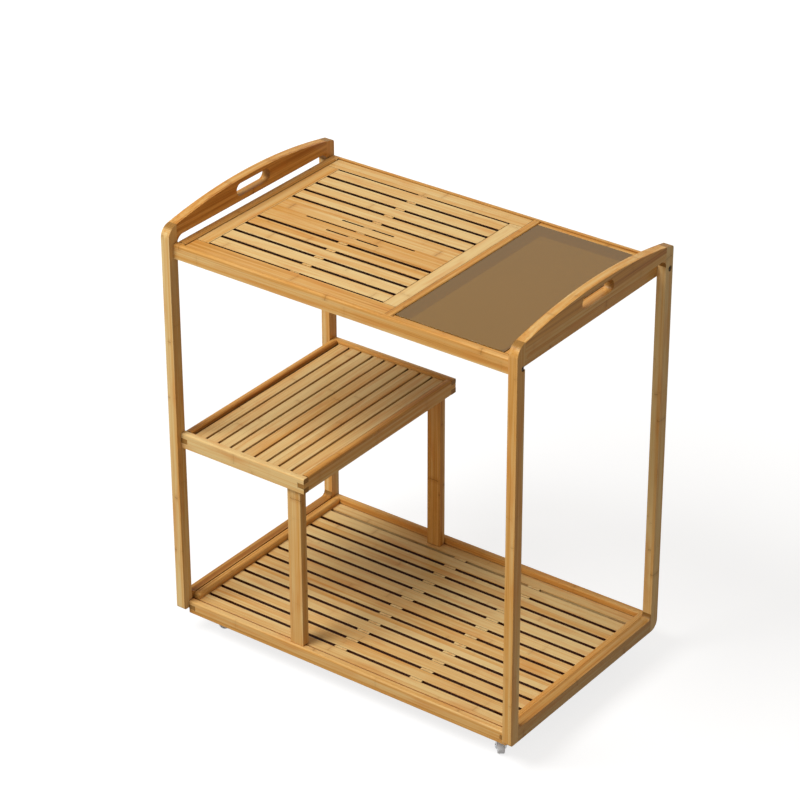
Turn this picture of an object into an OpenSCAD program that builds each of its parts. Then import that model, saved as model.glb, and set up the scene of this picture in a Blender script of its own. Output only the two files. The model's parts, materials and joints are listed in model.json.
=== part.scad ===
// Coffee table cart in bamboo: two side frames with arched handles, a slatted
// top deck with a tinted glass bay, a half-width middle shelf, a slatted lower
// shelf and four small swivel casters. Millimetres, +Z up, the floor at Z = 0,
// +X to the glass end and -Y to the open front.

/* [Overall] */
// Width over the two side frames
cart_w = 680; // [600:1:780]
// Depth over the posts
cart_d = 425; // [390:1:480]
// Height of the top deck's frame above the floor
deck_z = 728.5; // [680:0.5:800]
// Height of the middle shelf's frame above the floor
mid_z = 386; // [330:1:430]
// Height of the lower shelf's slats above the floor
low_z = 61.5; // [58:0.5:75]
// Height of the post and foot rail undersides above the floor
foot_z = 48; // [46:0.5:50]

/* [Side frames] */
// Thickness of a side frame, along the cart's width
post_w = 16.5; // [14:0.5:22]
// Width of a post seen from the side
post_d = 20; // [16:0.5:28]
// Height of the handle arch above the deck
handle_h = 48; // [40:0.5:70]
// Rise of the handle arch from its ends to its middle
arch_rise = 22; // [10:0.5:30]
// Daylight between the deck and the handle panel
handle_gap = 9; // [6:0.5:12]
// Length of the hand slot
slot_len = 86; // [70:1:120]
// Height of the hand slot
slot_h = 22; // [18:0.5:26]
// Depth from the arch's top to the hand slot's centre
slot_drop = 19; // [16:0.5:22]
// Radius of the fillets where a handle panel meets its posts
handle_fillet_r = 14; // [6:0.5:18]
// Radius of the fillets on a foot rail
foot_fillet_r = 10; // [4:0.5:14]
// Radius of a front post's rounded top
top_front_r = 20; // [4:0.5:20]
// Radius of a back post's rounded top
top_back_r = 5; // [1:0.5:20]
// Height of a foot rail
foot_rail_h = 24.5; // [18:0.5:30]
// Radius of the rounded front bottom corner
foot_front_r = 5; // [1:0.5:12]
// Radius of the rounded back bottom corner
foot_back_r = 17; // [4:0.5:19]

/* [Shelf frames] */
// Thickness of the shelf rails
rail_t = 12.6; // [10:0.2:16]
// Height of the deck rails
deck_rail_h = 25.6; // [22:0.2:34]
// Height of the middle shelf's rails
mid_rail_h = 27; // [22:0.5:34]
// Depth of the lower rails below the lower shelf's slats
low_rail_drop = 23.5; // [20:0.5:26]
// Height of the lower shelf's rim above its slats
low_rim = 10.5; // [4:0.5:16]
// Distance from a post's front face to the deck and middle rails
front_recess = 9.5; // [4:0.5:12]
// Distance from a post's front face to the lower front rail
low_recess = 11.5; // [4:0.5:14]
// Distance from the posts' back faces to the back rails
back_recess = 1.5; // [0.5:0.5:6]
// Radius of the rails' eased top edges
rail_r = 3; // [1:0.5:4]
// Thickness of the deck's side rails
deck_side_t = 16; // [12:0.5:20]
// Bare top of a deck rail beside its rabbet
deck_lip = 7.4; // [6:0.2:9]

/* [Slats] */
// Thickness of slats and boards
slat_t = 8; // [6:0.5:9]
// Width of the open slots
slot_w = 6; // [3:0.5:8]
// Width of the deck's outermost slots
edge_slot_w = 3; // [2:0.5:6]
// Width of the deck's border boards
border_w = 30; // [20:0.5:36]
// Distance from slot to slot on the lower shelf
low_pitch = 30.5; // [26:0.5:32]
// Distance from slat to slat on the middle shelf
mid_pitch = 24.9; // [20:0.1:30]
// Width of the gaps on the middle shelf
mid_gap = 4.4; // [2:0.2:7]
// Drop of the deck's slats below its frame
deck_drop = 2; // [0:0.5:3]
// Drop of the middle slats below their frame
mid_drop = 5; // [2:0.5:8]
// Width of the deck's centre board
centre_w = 84; // [70:1:96]
// Width of the boards across the slats' ends
end_board_w = 24; // [18:0.5:34]
// Width of the short slots in the centre board
short_slot_w = 3; // [2:0.5:5]
// Length of the long middle slot of the centre board
long_slot = 214; // [120:1:260]
// Length of the two short slots of the centre board
short_slot = 102; // [60:1:110]
// Width of the batten that crosses the deck's slots
cross_w = 18; // [12:1:26]
// Thickness of the battens and cleats under the slats
batten_t = 9; // [6:0.5:11]
// Width of the cleats along the frames
cleat_w = 12; // [8:0.5:18]
// Width of the battens that cross the lower slots
low_cross_w = 24; // [16:1:32]

/* [Glass bay] */
// Distance from the cart's middle to the divider
divider_x = 84; // [40:1:130]
// Thickness of the divider's top
divider_t = 13.5; // [10:0.5:18]
// Width of the ledge strips round the glass
ledge_w = 8; // [5:0.5:14]
// Thickness of the glass
glass_t = 5; // [3:0.5:5.5]
// Drop of the glass below the deck's frame
glass_drop = 1.5; // [0.5:0.5:2]

/* [Middle shelf and its supports] */
// Distance from the cart's middle to the middle shelf's free end
mid_end = 71; // [30:1:120]
// Width of a support post
support_w = 26.5; // [18:0.5:36]
// Thickness of a support post
support_t = 15; // [10:0.5:20]

/* [Casters] */
// Diameter of a caster wheel
wheel_dia = 26; // [20:0.5:28]
// Width of a caster wheel
wheel_w = 12; // [8:0.5:13]
// Distance from the swivel's axis to the axle
trail = 12; // [8:0.5:14]
// Diameter of the axle
axle_dia = 4; // [3:0.5:5]
// Diameter of the kingpin
kingpin_dia = 6; // [5:0.5:7]
// Side of a caster's square plate
plate_s = 36; // [32:1:40]
// Thickness of the caster plates
plate_t = 2; // [1.5:0.25:3]
// Thickness of the fork's sheet
fork_t = 1.8; // [1.5:0.1:2.5]
// Side of the corner blocks above the casters
block_s = 44; // [40:1:60]

/* [Fasteners] */
// Diameter of the frame bolts
bolt_dia = 5; // [4:0.5:6]
// Diameter of the cross dowel nuts
nut_dia = 8; // [7.5:0.5:9]
// Distance from a deck rail's top to the bolt
bolt_drop = 11.5; // [10:0.5:14]
// Depth of the bolt heads below a post's face
bolt_sink = 2; // [0.5:0.5:3]
// Diameter of the wood screws
screw_dia = 3.5; // [3:0.5:4.5]

/* [Clearances] */
// Visible joint between a slat panel and its frame
panel_gap = 0.7; // [0.3:0.1:1.2]
// Gap between a batten's tongue and the slot's walls
tongue_gap = 0.1; // [0.05:0.05:0.4]
// Radial clearance of turning pins
run_gap = 0.05; // [0.02:0.01:0.1]
// Gap between turning faces
face_gap = 0.3; // [0.2:0.05:0.6]
// Radial clearance of fixed pins, bolts and screws
fixed_gap = 0.02; // [0.01:0.01:0.1]

/* [Hidden] */
$fn = 64;

bamboo = [0.85, 0.66, 0.40];
bamboo_dark = [0.74, 0.52, 0.28];
tinted = [0.35, 0.27, 0.20, 0.6];
zinc = [0.72, 0.73, 0.75];
nylon = [0.80, 0.81, 0.82];

// Side frames
half_w = cart_w / 2;
half_d = cart_d / 2;
inner_x = half_w - post_w;
inner_y = half_d - post_d;
arch_top = deck_z + handle_h;
arch_r = half_d * half_d / (2 * arch_rise) + arch_rise / 2;
arch_cz = arch_top - arch_r;
panel_z = deck_z + handle_gap;

// Shelf frames: outer and inner faces in Y
deck_y0 = -half_d + front_recess;
back_y1 = half_d - back_recess;
deck_yi0 = deck_y0 + rail_t;
back_yi = back_y1 - rail_t;
low_y0 = -half_d + low_recess;
low_yi0 = low_y0 + rail_t;
deck_z0 = deck_z - deck_rail_h;
mid_z0 = mid_z - mid_rail_h;
low_z0 = low_z - low_rail_drop;
low_top = low_z + low_rim;
frame_xi = inner_x - rail_t;

// Deck panel
deck_rabbet = rail_t - deck_lip;
seat_z = deck_z - deck_drop - slat_t;
deck_top = deck_z - deck_drop;
lip_y0 = deck_y0 + deck_lip;
lip_y1 = back_y1 - deck_lip;
panel_y = (lip_y0 + lip_y1) / 2;
panel_half = (lip_y1 - lip_y0) / 2 - panel_gap;
panel_x0 = -inner_x + deck_side_t + panel_gap;
panel_x1 = divider_x - panel_gap;
slats_x0 = panel_x0 + end_board_w;
slats_x1 = panel_x1 - end_board_w;
cross_x = (slats_x0 + slats_x1) / 2;
first_slot = centre_w / 2 + slot_w / 2;
deck_slots = 5;
last_slot = panel_half - border_w - edge_slot_w / 2;
deck_pitch = (last_slot - first_slot) / (deck_slots - 1);
slats_half = last_slot + edge_slot_w / 2;
short_y = centre_w / 4;

// Glass bay
bay_x0 = divider_x + divider_t;
bay_x1 = inner_x - deck_side_t;
glass_z1 = deck_z - glass_drop;
glass_z0 = glass_z1 - glass_t;
glass_x0 = bay_x0 + panel_gap;
glass_x1 = bay_x1 - ledge_w - 2 * panel_gap;
glass_y0 = lip_y0 + ledge_w + 2 * panel_gap;
glass_y1 = lip_y1 - ledge_w - 2 * panel_gap;
pad_r = 5;

// Middle shelf
mid_xi0 = -frame_xi;
mid_x1 = -mid_end;
mid_xi1 = mid_x1 - rail_t;
mid_top = mid_z - mid_drop;
mid_bot = mid_top - slat_t;
mid_span = mid_xi1 - mid_xi0;
mid_count = floor((mid_span + mid_gap) / mid_pitch);
mid_edge = (mid_span - mid_count * mid_pitch + mid_gap) / 2;

// Lower shelf
low_y = (low_yi0 + back_yi) / 2;
low_half = (back_yi - low_yi0) / 2 - panel_gap;
low_slots = floor((2 * low_half - 2 * slot_w) / low_pitch);
low_bot = low_z - slat_t;
low_first = -(low_slots - 1) / 2 * low_pitch;
low_cross_at = [-inner_x * 0.1, inner_x * 0.37];

// Casters
block_x = frame_xi - block_s;
caster_x = frame_xi - block_s / 2;
caster_front = low_yi0 + block_s / 2;
caster_back = back_yi - block_s / 2;
wheel_r = wheel_dia / 2;
axle_r = axle_dia / 2;
king_r = kingpin_dia / 2;
plate_z = low_z0 - plate_t;
race_h = 2.6;
race_r = 9;
fork_z1 = plate_z - race_h - face_gap;
fork_z0 = fork_z1 - fork_t;
king_head_h = 1.2;
cheek_y = wheel_w / 2 + 2 * face_gap;
hub_side = face_gap;
axle_head_r = axle_r + 1.4;
axle_head_t = 1.2;
// Resting swivel angles: the way each wheel trails
swivel = [["front_left", -caster_x, caster_front, 62], ["front_right", caster_x, caster_front, -52],
          ["back_left", -caster_x, caster_back, -35], ["back_right", caster_x, caster_back, 205]];

// Fasteners
bolt_head_r = bolt_dia * 0.85;
bolt_head_h = bolt_dia;
bore_depth = bolt_head_h + bolt_sink;
bore_gap = 0.75;
bolt_y = [deck_y0 + rail_t / 2, back_yi + rail_t / 2];
deck_bolt_z = deck_z - bolt_drop;
mid_bolt_z = mid_z - mid_rail_h / 2;
// How far the nuts reach above and below the bolts, and how far in they sit:
// the deck's before its rabbet, the middle shelf's past its finger joint
nut_above = 3.4;
nut_below = 11;
deck_nut_in = 10.5;
mid_nut_in = 22;
// Side, Y, Z and nut's distance of each bolt: two per end of the deck, and
// the middle shelf's two
bolts = [for (y = bolt_y) each [[-1, y, deck_bolt_z, deck_nut_in], [1, y, deck_bolt_z, deck_nut_in],
                                [-1, y, mid_bolt_z, mid_nut_in]]];
screw_head_r = screw_dia;
screw_head_h = 1.8;
screw_in = 9;
plate_hole = plate_s / 2 - 5;
foot_screw_z = foot_z + 5;
foot_screw_y = [-0.6 * inner_y, 0, 0.6 * inner_y];

// Basic solids
module box(a, b) {
  translate(a) cube(b - a);
}

// A rectangle from corner a to corner b with its two upper corners rounded
module eased(a, b, r) {
  union() {
    translate(a) square([b[0] - a[0], b[1] - a[1] - r]);
    translate([a[0] + r, a[1]]) square([b[0] - a[0] - 2 * r, b[1] - a[1]]);
    for (x = [a[0] + r, b[0] - r])
      translate([x, b[1] - r]) circle(r);
  }
}

// A rail along X with eased top edges
module rail_x(x0, x1, y0, y1, z0, z1) {
  translate([x0, 0, 0]) rotate([90, 0, 90])
    linear_extrude(x1 - x0) eased([y0, z0], [y1, z1], rail_r);
}

// A rail along Y with eased top edges
module rail_y(x0, x1, y0, y1, z0, z1) {
  translate([0, y1, 0]) rotate([90, 0, 0])
    linear_extrude(y1 - y0) eased([x0, z0], [x1, z1], rail_r);
}

// Both sides of the cart from one that is drawn at +X
module side_of(s) {
  mirror([s < 0 ? 1 : 0, 0, 0]) children();
}

// Side frame profiles, drawn in Y and Z
module arch_disc() {
  translate([0, arch_cz]) circle(arch_r, $fn = 400);
}

// The profile of a back post: its rounded top runs into the arch
module post_profile(r_top, r_foot) {
  // The top's circle touches the arch from inside, at touch_y
  top_y = half_d - r_top;
  top_z = arch_cz + sqrt(pow(arch_r - r_top, 2) - top_y * top_y);
  touch_y = top_y * arch_r / (arch_r - r_top);
  intersection() {
    arch_disc();
    translate([inner_y, foot_z]) square([post_d, arch_top - foot_z]);
    union() {
      translate([inner_y, foot_z + r_foot]) square([post_d, top_z - foot_z - r_foot]);
      translate([inner_y, foot_z]) square([post_d - r_foot, r_foot]);
      translate([half_d - r_foot, foot_z + r_foot]) circle(r_foot);
      translate([inner_y, top_z]) square([touch_y - inner_y, arch_top - top_z]);
      translate([top_y, top_z]) circle(r_top);
    }
  }
}

module side_extrude() {
  translate([inner_x, 0, 0]) rotate([90, 0, 90]) linear_extrude(post_w) children();
}

// The ways of bolt p and of its nut
function bolt_len(p) = post_w - bore_depth + p[3] + nut_dia / 2 + 1;

module bolt_way(p) {
  side_of(p[0]) translate([0, p[1], p[2]]) rotate([0, 90, 0]) {
    translate([0, 0, half_w - bore_depth - bolt_len(p) - 1])
      cylinder(r = bolt_dia / 2 + fixed_gap, h = bolt_len(p) + 3);
    translate([0, 0, half_w - bore_depth]) cylinder(r = bolt_head_r + bore_gap, h = bore_depth + 1);
  }
}

module nut_way(p) {
  side_of(p[0]) translate([inner_x - p[3], p[1], p[2] - 3 * nut_below])
    cylinder(r = nut_dia / 2 + fixed_gap, h = 3 * nut_below + nut_above);
}

module post(s, b) {
  difference() {
    side_of(s) side_extrude() mirror([b < 0 ? 1 : 0, 0])
      post_profile(b < 0 ? top_front_r : top_back_r, b < 0 ? foot_front_r : foot_back_r);
    for (p = bolts) if (p[0] == s && p[1] * b > 0) bolt_way(p);
  }
}

// A concave corner of radius r, filling the corner at the origin
module fillet(r) {
  difference() {
    square(r);
    translate([r, r]) circle(r);
  }
}

module handle_panel(s) {
  side_of(s) side_extrude() difference() {
    union() {
      intersection() {
        arch_disc();
        translate([-inner_y, panel_z]) square([2 * inner_y, handle_h]);
      }
      for (m = [0, 1]) mirror([m, 0]) translate([-inner_y, panel_z]) mirror([0, 1]) fillet(handle_fillet_r);
    }
    translate([0, arch_top - slot_drop]) {
      square([slot_len - slot_h, slot_h], center = true);
      for (y = [-1, 1]) translate([y * (slot_len - slot_h) / 2, 0]) circle(slot_h / 2);
    }
  }
}

module foot_rail(s) {
  side_of(s) difference() {
    side_extrude() {
      translate([-inner_y, foot_z]) square([2 * inner_y, foot_rail_h]);
      for (m = [0, 1]) mirror([m, 0]) translate([-inner_y, foot_z + foot_rail_h]) fillet(foot_fillet_r);
    }
    foot_screw_ways();
  }
}

// Deck frame. The front and back rails run between the posts and carry a
// rabbet for the slat panel, and the side rails stand between them.
module deck_long_rail(y0, front) {
  inside = front ? y0 + deck_lip : y0 - 1;
  difference() {
    rail_x(-inner_x, inner_x, y0, y0 + rail_t, deck_z0, deck_z);
    box([-inner_x + deck_side_t, inside, seat_z], [inner_x - deck_side_t, inside + deck_rabbet + 1, deck_z + 1]);
    for (p = bolts) if (p[2] == deck_bolt_z && p[1] == y0 + rail_t / 2) {
      bolt_way(p);
      nut_way(p);
    }
  }
}

module deck_side_rail(s) {
  side_of(s) rail_y(inner_x - deck_side_t, inner_x, deck_yi0, back_yi, deck_z0, deck_z);
}

module deck_divider() {
  color(bamboo) {
    rail_y(divider_x, bay_x0, deck_yi0, back_yi, deck_z0, deck_z);
    rail_y(divider_x, bay_x0, lip_y0 + tongue_gap, lip_y1 - tongue_gap, seat_z, deck_z);
  }
}

// A board lying in the deck panel, from corner a to corner b
module deck_board(a, b) {
  box([a[0], a[1], seat_z], [b[0], b[1], deck_top]);
}

// The slots are counted from the centre board outwards
function deck_slot_y(i) = first_slot + i * deck_pitch;
function deck_slot_w(i) = i == deck_slots - 1 ? edge_slot_w : slot_w;

module deck_slats() {
  color(bamboo) for (m = [0, 1]) translate([0, panel_y, 0]) mirror([0, m, 0])
    for (i = [0 : deck_slots - 2])
      deck_board([slats_x0, deck_slot_y(i) + deck_slot_w(i) / 2],
                 [slats_x1, deck_slot_y(i + 1) - deck_slot_w(i + 1) / 2]);
}

module deck_border_boards() {
  color(bamboo) for (m = [0, 1]) translate([0, panel_y, 0]) mirror([0, m, 0])
    deck_board([panel_x0, slats_half], [panel_x1, panel_half]);
}

module deck_end_boards() {
  color(bamboo) {
    deck_board([panel_x0, panel_y - slats_half], [slats_x0, panel_y + slats_half]);
    deck_board([slats_x1, panel_y - slats_half], [panel_x1, panel_y + slats_half]);
  }
}

module deck_centre_board() {
  color(bamboo) difference() {
    deck_board([slats_x0, panel_y - centre_w / 2], [slats_x1, panel_y + centre_w / 2]);
    for (i = [-1, 0, 1]) {
      l = i == 0 ? long_slot : short_slot;
      translate([cross_x, panel_y + i * short_y, seat_z + slat_t / 2])
        cube([l, short_slot_w, slat_t + 2], center = true);
    }
  }
}

// The batten under the slats, whose tongues close the slots at its place
module deck_cross_batten() {
  color(bamboo) {
    box([cross_x - cross_w / 2, deck_yi0, seat_z - batten_t], [cross_x + cross_w / 2, back_yi, seat_z]);
    for (m = [-1, 1]) for (i = [0 : deck_slots - 1])
      tongue(panel_y + m * deck_slot_y(i), deck_slot_w(i));
    for (i = [-1, 0, 1]) tongue(panel_y + i * short_y, short_slot_w);
  }
}

module tongue(y, w) {
  translate([cross_x - cross_w / 2, y - w / 2 + tongue_gap, seat_z])
    cube([cross_w, w - 2 * tongue_gap, slat_t]);
}

module deck_end_battens() {
  color(bamboo_dark) for (x = [slats_x0, slats_x1])
    box([x - cleat_w, deck_yi0, seat_z - batten_t], [x + cleat_w, back_yi, seat_z]);
}

// Glass bay: bamboo ledge strips round a pane on soft pads
module glass_ledge_strips() {
  color(bamboo) {
    box([glass_x0, lip_y0 + panel_gap, seat_z], [bay_x1 - panel_gap, lip_y0 + panel_gap + ledge_w, deck_top]);
    box([glass_x0, lip_y1 - panel_gap - ledge_w, seat_z], [bay_x1 - panel_gap, lip_y1 - panel_gap, deck_top]);
    box([bay_x1 - panel_gap - ledge_w, glass_y0, seat_z], [bay_x1 - panel_gap, glass_y1, deck_top]);
  }
}

// Cleats on the bay's four inner faces: two long ones, and two short ones
// between them
module glass_cleats() {
  y0 = deck_yi0 + cleat_w + panel_gap;
  y1 = back_yi - cleat_w - panel_gap;
  color(bamboo_dark) {
    bay_cleat([bay_x0, deck_yi0], [bay_x1, deck_yi0 + cleat_w]);
    bay_cleat([bay_x0, back_yi - cleat_w], [bay_x1, back_yi]);
    bay_cleat([bay_x0, y0], [bay_x0 + cleat_w, y1]);
    bay_cleat([bay_x1 - ledge_w - cleat_w, y0], [bay_x1, y1]);
  }
}

module bay_cleat(a, b) {
  box([a[0], a[1], seat_z - batten_t], [b[0], b[1], seat_z]);
}

pad_at = [for (x = [glass_x0 + 2 * pad_r, glass_x1 - pad_r - 1]) for (y = [glass_y0 + pad_r, glass_y1 - pad_r]) [x, y]];

module glass_pads() {
  color(nylon) for (p = pad_at)
    translate([p[0], p[1], seat_z]) cylinder(r = pad_r, h = glass_z0 - seat_z);
}

module glass_panel() {
  r = 4;
  color(tinted) translate([0, 0, glass_z0]) linear_extrude(glass_t) {
    translate([glass_x0 + r, glass_y0]) square([glass_x1 - glass_x0 - 2 * r, glass_y1 - glass_y0]);
    translate([glass_x0, glass_y0 + r]) square([glass_x1 - glass_x0, glass_y1 - glass_y0 - 2 * r]);
    for (x = [glass_x0 + r, glass_x1 - r]) for (y = [glass_y0 + r, glass_y1 - r])
      translate([x, y]) circle(r);
  }
}

// Finger joints: the middle third of a corner belongs to the side rails
module finger(x0, x1, y0, y1, z0, z1, gap) {
  third = (z1 - z0) / 3;
  box([x0, y0, z0 + third + gap], [x1, y1, z0 + 2 * third - gap]);
}

// Middle shelf frame
module mid_long_rail(y0) {
  color(bamboo) difference() {
    rail_x(-inner_x, mid_x1, y0, y0 + rail_t, mid_z0, mid_z);
    finger(-inner_x - 1, -frame_xi, y0 - 1, y0 + rail_t + 1, mid_z0, mid_z, 0);
    finger(mid_xi1, mid_x1 + 1, y0 - 1, y0 + rail_t + 1, mid_z0, mid_z, 0);
    for (p = bolts) if (p[2] == mid_bolt_z && p[1] == y0 + rail_t / 2) {
      bolt_way(p);
      nut_way(p);
    }
  }
}

module mid_side_rail(x0) {
  color(bamboo) difference() {
    union() {
      rail_y(x0, x0 + rail_t, deck_yi0, back_yi, mid_z0, mid_z);
      finger(x0, x0 + rail_t, deck_y0, back_y1, mid_z0, mid_z, 0);
    }
    if (x0 < -frame_xi) for (p = bolts) if (p[2] == mid_bolt_z) bolt_way(p);
  }
}

module mid_slats() {
  color(bamboo) for (i = [0 : mid_count - 1]) {
    x = mid_xi0 + mid_edge + i * mid_pitch;
    box([x, deck_yi0, mid_bot], [x + mid_pitch - mid_gap, back_yi, mid_top]);
  }
}

// Cleats carry the slats' ends and stop at the support posts
module mid_cleats() {
  x1 = mid_xi1 - support_w;
  color(bamboo_dark) {
    box([mid_xi0, deck_yi0, mid_bot - batten_t], [x1, deck_yi0 + cleat_w, mid_bot]);
    box([mid_xi0, back_yi - cleat_w, mid_bot - batten_t], [x1, back_yi, mid_bot]);
  }
}

// The front post stands half under the middle rail, with a notch for it
module support_post_front() {
  y0 = deck_yi0 - rail_t / 2;
  color(bamboo) {
    box([mid_xi1 - support_w, y0, low_z], [mid_xi1, y0 + support_t, mid_z0]);
    box([mid_xi1 - support_w, deck_yi0, mid_z0], [mid_xi1, y0 + support_t, mid_bot]);
  }
}

module support_post_back() {
  color(bamboo) box([mid_xi1 - support_w, back_yi - support_t, low_z], [mid_xi1, back_yi, mid_bot]);
}

// Lower shelf frame: a low front rail and a rim on the other three sides
module low_rail_front() {
  color(bamboo) difference() {
    rail_x(-inner_x, inner_x, low_y0, low_yi0, low_z0, low_z);
    for (s = [-1, 1]) side_of(s)
      finger(frame_xi, inner_x + 1, low_y0 - 1, low_yi0 + 1, low_z0, low_z, 0);
  }
}

module low_rail_back() {
  color(bamboo) difference() {
    rail_x(-inner_x, inner_x, back_yi, back_y1, low_z0, low_top);
    for (s = [-1, 1]) side_of(s)
      finger(frame_xi, inner_x + 1, back_yi - 1, back_y1 + 1, low_z0, low_top, 0);
  }
}

module low_side_rail(s) {
  color(bamboo) side_of(s) difference() {
    union() {
      rail_y(frame_xi, inner_x, low_yi0, back_yi, low_z0, low_top);
      finger(frame_xi, inner_x, low_y0, low_yi0, low_z0, low_z, 0);
      finger(frame_xi, inner_x, back_yi, back_y1, low_z0, low_top, 0);
    }
    foot_screw_ways();
    // The rim sweeps down to the front rail
    translate([0, low_yi0, low_top]) rotate([0, 90, 0]) difference() {
      translate([-1, -1, 0]) cube([low_rim + 1, low_rim + 1, half_w]);
      translate([low_rim, low_rim, -1]) cylinder(r = low_rim, h = half_w + 2);
    }
  }
}

module low_slats() {
  w = low_pitch - slot_w;
  color(bamboo) for (i = [0 : low_slots - 2]) {
    y = low_y + low_first + (i + 0.5) * low_pitch;
    box([-frame_xi, y - w / 2, low_bot], [frame_xi, y + w / 2, low_z]);
  }
}

module low_border_boards() {
  color(bamboo) for (m = [0, 1]) translate([0, low_y, 0]) mirror([0, m, 0])
    box([-frame_xi, -low_first + slot_w / 2, low_bot], [frame_xi, low_half, low_z]);
}

// A batten under the lower slats with tongues up to height top
module low_batten(x, w, top) {
  box([x - w / 2, low_yi0, low_bot - batten_t], [x + w / 2, back_yi, low_bot]);
  for (i = [0 : low_slots - 1])
    translate([x - w / 2, low_y + low_first + i * low_pitch - slot_w / 2 + tongue_gap, low_bot])
      cube([w, slot_w - 2 * tongue_gap, top - low_bot]);
}

module low_cross_battens() {
  color(bamboo) for (x = low_cross_at) low_batten(x, low_cross_w, low_z);
}

// The end battens lie between the corner blocks
module low_end_battens() {
  color(bamboo_dark) for (x = [-1, 1])
    box([x * frame_xi - (x > 0 ? low_cross_w : 0), low_yi0 + block_s, low_bot - batten_t],
        [x * frame_xi + (x > 0 ? 0 : low_cross_w), back_yi - block_s, low_bot]);
}

module caster_blocks() {
  color(bamboo_dark) for (s = [-1, 1]) side_of(s) for (y = [low_yi0, back_yi - block_s])
    difference() {
      box([block_x, y, low_z0], [frame_xi, y + block_s, low_bot]);
      for (a = [-1, 1]) for (b = [-1, 1])
        translate([caster_x + a * plate_hole, y + block_s / 2 + b * plate_hole, low_z0 - 1])
          cylinder(r = screw_dia / 2 + fixed_gap, h = screw_in + 1.5);
    }
}

// Fasteners
module frame_bolts() {
  color(zinc) for (p = bolts) side_of(p[0])
    translate([half_w - bore_depth, p[1], p[2]]) rotate([0, 90, 0]) {
      difference() {
        cylinder(r = bolt_head_r, h = bolt_head_h);
        translate([0, 0, bolt_head_h / 2]) cylinder(r = bolt_dia * 0.46, h = bolt_head_h, $fn = 6);
      }
      translate([0, 0, -bolt_len(p)]) cylinder(r = bolt_dia / 2, h = bolt_len(p));
    }
}

module barrel_nuts() {
  color(zinc) for (p = bolts) side_of(p[0])
    translate([inner_x - p[3], p[1], p[2]]) difference() {
      translate([0, 0, -nut_below]) cylinder(r = nut_dia / 2, h = nut_below + nut_above);
      translate([-nut_dia, 0, 0]) rotate([0, 90, 0]) cylinder(r = bolt_dia / 2 + fixed_gap, h = 2 * nut_dia);
    }
}

// A screw with its head's top at the origin and its shank along +Z
module wood_screw(l, gap) {
  cylinder(r = screw_head_r + gap, h = screw_head_h);
  cylinder(r = screw_dia / 2 + gap, h = l + gap);
}

// The screws that hold the lower shelf to a foot rail, let into its side rail
module foot_screws(gap) {
  for (y = foot_screw_y)
    translate([frame_xi, y, foot_screw_z]) rotate([0, 90, 0]) wood_screw(rail_t + screw_in, gap);
}

module foot_screw_ways() {
  foot_screws(fixed_gap);
}

module frame_screws() {
  color(zinc) for (s = [-1, 1]) side_of(s) foot_screws(0);
}

module caster_screws() {
  color(zinc) for (s = [-1, 1]) side_of(s) for (y = [caster_front, caster_back])
    for (a = [-1, 1]) for (b = [-1, 1])
      translate([caster_x + a * plate_hole, y + b * plate_hole, plate_z - screw_head_h])
        wood_screw(screw_head_h + plate_t + screw_in, 0);
}

// Casters, drawn with the swivel's axis on the Z axis and trailing along +X
module caster_at(i) {
  translate([swivel[i][1], swivel[i][2], 0]) children();
}

module caster_plate(i) {
  r = 4;
  h = plate_s / 2;
  color(zinc) caster_at(i) {
    difference() {
      translate([0, 0, plate_z]) linear_extrude(plate_t) {
        square([plate_s - 2 * r, plate_s], center = true);
        square([plate_s, plate_s - 2 * r], center = true);
        for (a = [-1, 1]) for (b = [-1, 1]) translate([a * (h - r), b * (h - r)]) circle(r);
      }
      for (a = [-1, 1]) for (b = [-1, 1])
        translate([a * plate_hole, b * plate_hole, plate_z - 1])
          cylinder(r = screw_dia / 2 + fixed_gap, h = plate_t + 2);
    }
    translate([0, 0, plate_z - race_h]) cylinder(r = race_r, h = race_h);
    translate([0, 0, fork_z0 - face_gap]) cylinder(r = king_r, h = plate_z - fork_z0);
    translate([0, 0, fork_z0 - face_gap - king_head_h]) cylinder(r = king_r + 1.5, h = king_head_h);
  }
}

// The fork's cheek seen from the side: a web that narrows to a round eye
module cheek_profile() {
  eye = axle_r + 3;
  difference() {
    union() {
      polygon([[-race_r * 0.75, fork_z0], [-race_r * 0.75, fork_z1], [trail + eye, fork_z1],
               [trail + eye, wheel_r], [trail - eye, wheel_r]]);
      translate([trail, wheel_r]) circle(eye);
    }
    translate([trail, wheel_r]) circle(axle_r + fixed_gap);
  }
}

module caster_fork(i) {
  color(zinc) caster_at(i) rotate([0, 0, swivel[i][3]]) {
    for (m = [0, 1]) mirror([0, m, 0])
      translate([0, cheek_y + fork_t, 0]) rotate([90, 0, 0]) linear_extrude(fork_t) cheek_profile();
    difference() {
      translate([0, 0, fork_z0]) linear_extrude(fork_t) {
        circle(race_r + 0.6);
        translate([-race_r * 0.75, -cheek_y]) square([race_r * 0.75 + trail + axle_r + 3, 2 * cheek_y]);
      }
      translate([0, 0, fork_z0 - 1]) cylinder(r = king_r + run_gap, h = fork_t + 2);
    }
  }
}

module caster_axle(i) {
  w = cheek_y + fork_t;
  color(zinc) caster_at(i) rotate([0, 0, swivel[i][3]]) translate([trail, 0, wheel_r]) rotate([90, 0, 0]) {
    cylinder(r = axle_r, h = 2 * w, center = true);
    for (m = [0, 1]) mirror([0, 0, m]) translate([0, 0, w]) cylinder(r = axle_head_r, h = axle_head_t);
  }
}

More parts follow.
